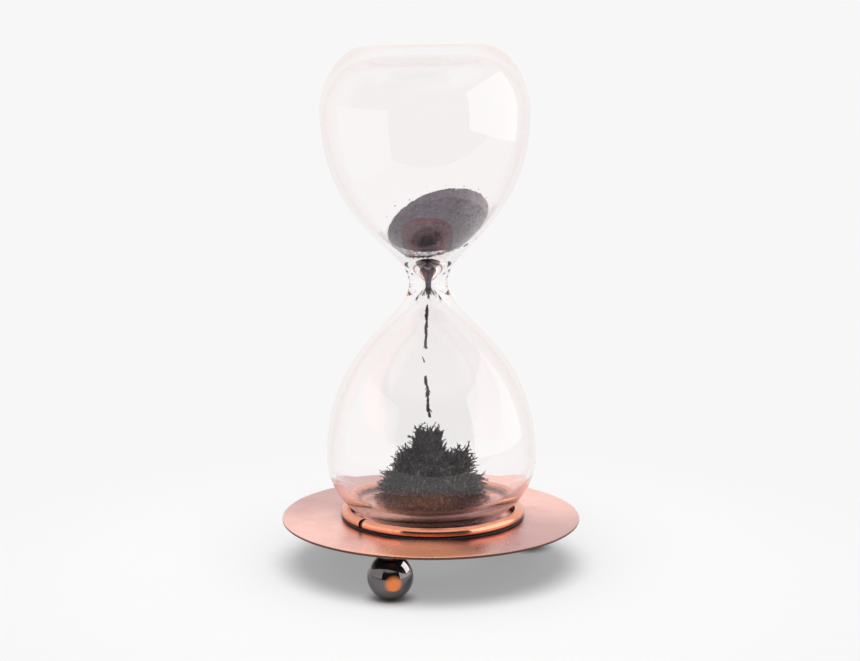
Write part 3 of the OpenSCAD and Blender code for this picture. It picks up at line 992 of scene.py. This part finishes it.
class HOURGLASS_OT_heap(bpy.types.Operator):
    """Pour the heap in the upper bulb, with its funnel, and lay filings over it"""

    bl_idname = "hourglass.heap"
    bl_label = "Upper heap"

    def execute(self, context):
        g = context.scene.hourglass_glass
        f = context.scene.hourglass_filings
        rng = random.Random(11)
        cavity = cavity_outline(g.gap)
        base = g.lower_half_h
        uphill = Vector((-f.heap_slope_x, -f.heap_slope_y, 1)).normalized()
        on_axis = Vector((0, 0, base + f.heap_h))

        def sunk(x, y):
            away = math.hypot(x, y) / f.crater_r
            lip = 0.14 * math.exp(-(((away - 1.35) * 3) ** 2))
            return f.crater_depth * (math.exp(-((away * 1.15) ** 4)) - lip)

        def surface(x, y):
            return on_axis.z + f.heap_slope_x * x + f.heap_slope_y * y - sunk(x, y)

        # The underside rises from the axis until it meets the glass
        floor_h = base + f.heap_floor_h
        wall = [(r, z) for r, z in cavity[1:-1] if floor_h < z < base + g.upper_belly_h]
        wall = [(r, z) for r, z in wall if z > floor_h + f.heap_floor_slope * r]
        outline = [(0, floor_h)] + wall + [(0, wall[-1][1])]
        bm = bmesh.new()
        lathe(bm, outline, 96)
        whole = bm.verts[:] + bm.edges[:] + bm.faces[:]
        cut = bmesh.ops.bisect_plane(bm, geom=whole, plane_co=on_axis, plane_no=uphill, clear_outer=True)
        rim = [e for e in cut["geom_cut"] if isinstance(e, bmesh.types.BMEdge)]
        bmesh.ops.contextual_create(bm, geom=rim)
        bm = remeshed(bm, 0.32 * MM)
        for vert in bm.verts:
            depth = (on_axis - vert.co).dot(uphill)
            grit = noise.noise(vert.co * 2200) + 0.6 * noise.noise(vert.co * 900)
            away = vert.co.xy.length
            if depth < 1.2 * MM:
                vert.co.z -= sunk(vert.co.x, vert.co.y) * (1 - depth / (1.2 * MM))
                ragged = max(0.0, noise.noise(vert.co * 700)) * min(1.0, max(0.0, away / (4 * MM) - 2.2))
                vert.co.z += 0.14 * MM * grit - 0.9 * MM * ragged
            else:
                inward = Vector((-vert.co.x, -vert.co.y, 0)).normalized()
                vert.co += inward * 0.08 * MM * (grit + 1.2)
        move(bm, glass_place())
        powder = fine_iron_powder()
        make_piece("filings_heap", bm, powder, "hourglass", ["upper_filings_heap"])

        sliver = sliver_template()
        bm = bmesh.new()
        count = 10000
        reach = 17.5 * MM
        for i in range(count):
            r = reach * math.sqrt((i + 0.5) / count)
            turn = i * GOLDEN_ANGLE
            x, y = r * math.cos(turn), r * math.sin(turn)
            z = surface(x, y)
            if math.hypot(x, y) > radius_at(cavity, z) - 0.3 * MM:
                continue
            out = Vector((x, y, f.heap_slope_x * x + f.heap_slope_y * y)).normalized()
            heading = shaken(rng, out, 0.45)
            heading = (heading + uphill * rng.uniform(-0.1, 0.5)).normalized()
            width = f.filing_t * rng.uniform(0.5, 1.1)
            size = (width, width * 0.6, rng.uniform(0.5, 1.15) * MM)
            start = Vector((x, y, z)) - heading * size[2] / 2
            stamp(bm, sliver, aimed(start, heading, rng.uniform(0, FULL_TURN), size))
        # Grains stand against the glass along the heap's edge, and a few cling above it
        for i in range(760):
            turn = i * GOLDEN_ANGLE
            r = 14 * MM
            for _ in range(10):
                z = surface(r * math.cos(turn), r * math.sin(turn))
                r = radius_at(cavity, z) - 0.35 * MM
            z += (rng.uniform(-0.7, -0.1) if i % 30 else rng.uniform(0.6, 2.2)) * MM
            r = radius_at(cavity, z) - 0.3 * MM
            lean = (radius_at(cavity, z + 0.5 * MM) - radius_at(cavity, z)) / (0.5 * MM)
            heading = shaken(rng, on_circle(lean, turn, 1).normalized(), 1.2)
            heading = (heading - on_circle(0.15, turn)).normalized()
            width = f.filing_t * rng.uniform(1.2, 2.6)
            length = rng.uniform(0.15, 0.5) * MM
            size = (width, width, length)
            stamp(bm, sliver, aimed(on_circle(r, turn, z), heading, rng.uniform(0, 3), size))
        move(bm, glass_place())
        make_piece("heap_filings", bm, powder, "hourglass", [], 30)
        bpy.data.meshes.remove(sliver)
        return {"FINISHED"}


class HOURGLASS_OT_plug(bpy.types.Operator):
    """Clog the throat with the plug of filings and its tail"""

    bl_idname = "hourglass.plug"
    bl_label = "Neck plug"

    def execute(self, context):
        g = context.scene.hourglass_glass
        f = context.scene.hourglass_filings
        rng = random.Random(23)
        cavity = cavity_outline(g.gap)
        base = g.lower_half_h
        bore = g.orifice_d / 2 - g.gap
        outline = [(0, base - f.plug_tail), (bore * 0.8, base - f.plug_tail), (bore, base)]
        outline += [(r, z) for r, z in cavity[1:-1] if base < z < base + f.plug_h and r < f.plug_d / 2]
        top_angle = math.degrees(math.acos(f.plug_d / 2 / f.plug_h))
        outline += arc(0, base, f.plug_h, top_angle, 90, 12)
        bm = bmesh.new()
        lathe(bm, outline, 48)
        bm = remeshed(bm, 0.14 * MM)
        for vert in bm.verts:
            inward = Vector((-vert.co.x, -vert.co.y, -0.3 * (vert.co.z - base)))
            grit = noise.noise(vert.co * 2400) + 0.6 * noise.noise(vert.co * 900) + 0.4
            vert.co += inward * 0.08 * max(0.0, grit)
        sliver = sliver_template()
        count = 700
        for i in range(count):
            z = base - f.plug_tail * 1.3 + (i + 0.5) / count * (f.plug_h * 0.95 + f.plug_tail * 1.3)
            keep = min(radius_at(cavity, z), math.sqrt(max(0, f.plug_h**2 - (z - base) ** 2)), f.plug_d / 2)
            keep = max(0.2 * MM, keep - 0.3 * MM) if z > base - f.plug_tail else 0.2 * MM
            turn = i * GOLDEN_ANGLE
            heading = Vector((rng.gauss(0, 0.35), rng.gauss(0, 0.35), -1)).normalized()
            width = f.filing_t * rng.uniform(0.5, 0.9)
            size = (width, width, rng.uniform(0.3, 0.6) * MM)
            stamp(bm, sliver, aimed(on_circle(keep, turn, z), heading, turn, size))
        move(bm, glass_place())
        powder = fine_iron_powder()
        make_piece("neck_plug", bm, powder, "hourglass", ["neck_filings_plug"], 30)
        bpy.data.meshes.remove(sliver)
        return {"FINISHED"}


def hang_strand(bm, rng, sliver, start, end, links, thickness):
    """Strings filings end to end between two points, in a loose and lumpy thread."""
    way = end - start
    for i in range(links):
        share = (i + rng.random()) / links
        lump = 0.6 + 0.5 * abs(math.sin(share * 9.5 + links))
        spread = Vector((rng.gauss(0, 0.13), rng.gauss(0, 0.13), 0)) * thickness * lump
        sway_x = noise.noise(Vector((share * 5, links, 0)))
        sway = Vector((sway_x, noise.noise(Vector((0, share * 5, links))), 0))
        place = start + way * share * 0.97 + sway * thickness * 0.5 + spread
        heading = shaken(rng, way.normalized(), 0.2)
        width = thickness * rng.uniform(0.5, 0.85) * lump
        length = min(rng.uniform(1.1, 2.2) * thickness, (end - place).length)
        stamp(bm, sliver, aimed(place, heading, rng.uniform(0, FULL_TURN), (width, width, length)))


class HOURGLASS_OT_strands(bpy.types.Operator):
    """Hang the falling strands and the clumps between them"""

    bl_idname = "hourglass.strands"
    bl_label = "Falling filings"

    def execute(self, context):
        f = context.scene.hourglass_filings
        rng = random.Random(37)
        sliver = sliver_template()
        iron = coarse_iron_filings()
        thick = f.strand_d
        low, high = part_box("falling_strand_upper")
        bm = bmesh.new()
        top = Vector((high.x - thick * 0.6, 0, high.z))
        foot = Vector((low.x + thick * 0.6, 0, low.z))
        hang_strand(bm, rng, sliver, top, foot, 110, thick)
        # A second thread thickens its lowest 3 mm
        top = foot + Vector((0.1 * MM, 0, 3 * MM))
        hang_strand(bm, rng, sliver, top, foot + Vector((0.25 * MM, 0, 0)), 22, thick)
        make_piece("upper_strand", bm, iron, "falling_filings", ["falling_strand_upper"])
        low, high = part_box("falling_clumps")
        bm = bmesh.new()
        top = Vector((low.x + 0.3 * MM, 0, high.z))
        foot = Vector((high.x - 0.3 * MM, 0, low.z))
        hang_strand(bm, rng, sliver, top, foot, 9, thick * 0.6)
        make_piece("falling_bits", bm, iron, "falling_filings", ["falling_clumps"])
        low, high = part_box("falling_strand_lower")
        bm = bmesh.new()
        top = Vector((low.x + thick * 0.55, 0, high.z))
        foot = Vector((high.x - thick * 0.55, 0, low.z))
        hang_strand(bm, rng, sliver, top, foot, 130, thick)
        make_piece("lower_strand", bm, iron, "hourglass", ["falling_strand_lower"])
        bpy.data.meshes.remove(sliver)
        return {"FINISHED"}


# The clumps of the pile: place across and back, radius and height, all in millimetres, and tufts
TALL_CLUMPS = [
    (-0.9, 0.0, 4.9, 22.4, 240),
    (-3.6, 0.0, 1.7, 23.4, 30),
    (1.8, 0.2, 1.8, 23.4, 30),
    (-0.3, -0.6, 5.8, 17.8, 220),
    (-6.8, -0.8, 3.2, 17.2, 130),
    (-8.6, -0.4, 2.6, 14.6, 90),
    (8.4, -0.8, 3.4, 16.6, 160),
    (-2.6, -5.6, 4.4, 14.6, 150),
    (3.6, -5.2, 4.4, 13.8, 150),
    (-4.8, 6.0, 4.6, 14.2, 90),
    (5.4, 5.8, 4.6, 14.6, 90),
]
LOW_CLUMPS = [
    (-10.8, 0.2, 3.0, 10.4, 110),
    (-12.4, -1.0, 2.2, 7.6, 80),
    (11.4, 0.0, 3.2, 9.0, 110),
    (0.2, 0.0, 10.2, 12.0, 420),
    (0.3, 0.0, 13.4, 6.0, 480),
]


class HOURGLASS_OT_pile(bpy.types.Operator):
    """Raise the spiky pile over the magnet from clumps of branching filings"""

    bl_idname = "hourglass.pile"
    bl_label = "Spiky pile"

    def clump(self, bm, rng, tufts, x, y, radius, height, count):
        """Adds a blunt mound, with tufts that follow the magnet's field out of it."""
        middle = Vector((x, y, 0)) * MM
        height *= MM
        radius *= MM * 0.92
        steps = 14

        def width_at(share):
            return radius * (1 - 0.14 * share) * math.sqrt(max(0.0, 1 - share**16))

        outline = [(width_at(i / steps), height * i / steps) for i in range(steps)]
        mound = bmesh.new()
        lathe(mound, [(0, 0)] + outline + [(0, height)], 28)
        for vert in mound.verts:
            grit = (noise.noise(vert.co * 900) - 0.3) * 0.9 * MM
            vert.co += Vector((vert.co.x, vert.co.y, 0)).normalized() * grit
        core = mesh_of(mound, "mound")
        stamp(bm, core, Matrix.Translation(middle))
        bpy.data.meshes.remove(core)
        for i in range(count):
            share = 0.02 + 0.98 * (i + 0.5) / count
            turn = i * GOLDEN_ANGLE + rng.gauss(0, 0.2)
            side = on_circle(1, turn)
            r = width_at(share) * (rng.random() ** 0.5 if share > 0.88 else 1)
            root = middle + side * r + Vector((0, 0, height * share))
            axis_r = max(root.xy.length, 0.01 * MM)
            splay = math.atan2(axis_r + 5 * MM, root.z + 1.0 * MM) * 1.15
            out = (Vector((root.x, root.y, 0)) / axis_r * 0.4 + side * 0.6).normalized()
            heading = out * math.sin(splay) + Vector((0, 0, math.cos(splay)))
            heading = shaken(rng, heading, 0.24)
            size = [rng.uniform(0.45, 1.0)] * 3
            stamp(bm, rng.choice(tufts), aimed(root, heading, rng.uniform(0, FULL_TURN), size))

    def execute(self, context):
        g = context.scene.hourglass_glass
        f = context.scene.hourglass_filings
        rng = random.Random(53)
        sliver = sliver_template()
        tufts = [tuft_template(rng, sliver, 3.3 * MM, f.filing_t * 2.3) for _ in range(8)]
        iron = coarse_iron_filings()
        stand = glass_place() @ Matrix.Translation((0, 0, g.end_t + g.gap))
        for name, clumps, nodes in (
            ("spiky_pile", TALL_CLUMPS, ["spiky_filings_pile"]),
            ("pile_foot", LOW_CLUMPS, []),
        ):
            bm = bmesh.new()
            for clump in clumps:
                self.clump(bm, rng, tufts, *clump)
            for vert in bm.verts:
                vert.co.z = max(vert.co.z, 0.02 * MM)
            move(bm, stand)
            make_piece(name, bm, iron, "hourglass", nodes, 30)
        for mesh in (sliver, *tufts):
            bpy.data.meshes.remove(mesh)
        return {"FINISHED"}


class HOURGLASS_OT_dust(bpy.types.Operator):
    """Scatter the skirt of dust and the loose grains on the glass floor"""

    bl_idname = "hourglass.dust"
    bl_label = "Dust and grains"

    def execute(self, context):
        g = context.scene.hourglass_glass
        f = context.scene.hourglass_filings
        rng = random.Random(71)
        sliver = sliver_template()
        floor = cavity_outline(g.gap)

        def scattered(count, near, far, length, lie):
            bm = bmesh.new()
            for i in range(count):
                r = near + (far - near) * rng.random() ** 1.6
                turn = i * GOLDEN_ANGLE
                start = on_circle(r, turn, floor_at(floor, r) + 0.12 * MM)
                heading = on_circle(1, turn, lie) + Vector((rng.gauss(0, 0.6), rng.gauss(0, 0.6), 0))
                w = f.filing_t * rng.uniform(0.6, 1.2)
                roll = rng.uniform(0, 3)
                size = (w, w * 0.6, length * rng.uniform(0.5, 1.2))
                stamp(bm, sliver, aimed(start, heading.normalized(), roll, size))
            move(bm, glass_place())
            return bm

        edge = f.skirt_d / 2
        bm = scattered(2600, 12.5 * MM, edge, 0.9 * MM, 0.12)
        make_piece("dust_skirt", bm, rusty_iron_dust(), "hourglass", ["filings_skirt"])
        bm = scattered(260, edge, 22 * MM, 0.5 * MM, 0.3)
        iron = coarse_iron_filings()
        make_piece("scattered_grains", bm, iron, "hourglass", ["loose_grains"])
        bpy.data.meshes.remove(sliver)
        return {"FINISHED"}


BUILD_ORDER = (
    HOURGLASS_OT_stage,
    HOURGLASS_OT_plate,
    HOURGLASS_OT_ring,
    HOURGLASS_OT_feet,
    HOURGLASS_OT_magnet,
    HOURGLASS_OT_glass,
    HOURGLASS_OT_heap,
    HOURGLASS_OT_plug,
    HOURGLASS_OT_strands,
    HOURGLASS_OT_pile,
    HOURGLASS_OT_dust,
)


class HOURGLASS_PT_panel(bpy.types.Panel):
    """Lists the hourglass's pieces in the order in which they are built"""

    bl_idname = "HOURGLASS_PT_panel"
    bl_label = "Filings hourglass"
    bl_space_type = "VIEW_3D"
    bl_region_type = "UI"
    bl_category = "Hourglass"

    def draw(self, context):
        for operator in BUILD_ORDER:
            self.layout.operator(operator.bl_idname)


PROPERTY_GROUPS = {
    "hourglass_glass": GlassSizes,
    "hourglass_stand": StandSizes,
    "hourglass_filings": FilingSizes,
    "hourglass_finishes": Finishes,
    "hourglass_stage": StageSizes,
}


def register():
    for name, group in PROPERTY_GROUPS.items():
        bpy.utils.register_class(group)
        setattr(bpy.types.Scene, name, bpy.props.PointerProperty(type=group))
    for operator in BUILD_ORDER:
        bpy.utils.register_class(operator)
    bpy.utils.register_class(HOURGLASS_PT_panel)


def unregister():
    bpy.utils.unregister_class(HOURGLASS_PT_panel)
    for operator in reversed(BUILD_ORDER):
        bpy.utils.unregister_class(operator)
    for name, group in PROPERTY_GROUPS.items():
        delattr(bpy.types.Scene, name)
        bpy.utils.unregister_class(group)


def main():
    register()
    for operator in BUILD_ORDER:
        name = operator.bl_idname.split(".")[1]
        getattr(bpy.ops.hourglass, name)()


if __name__ == "__main__":
    main()
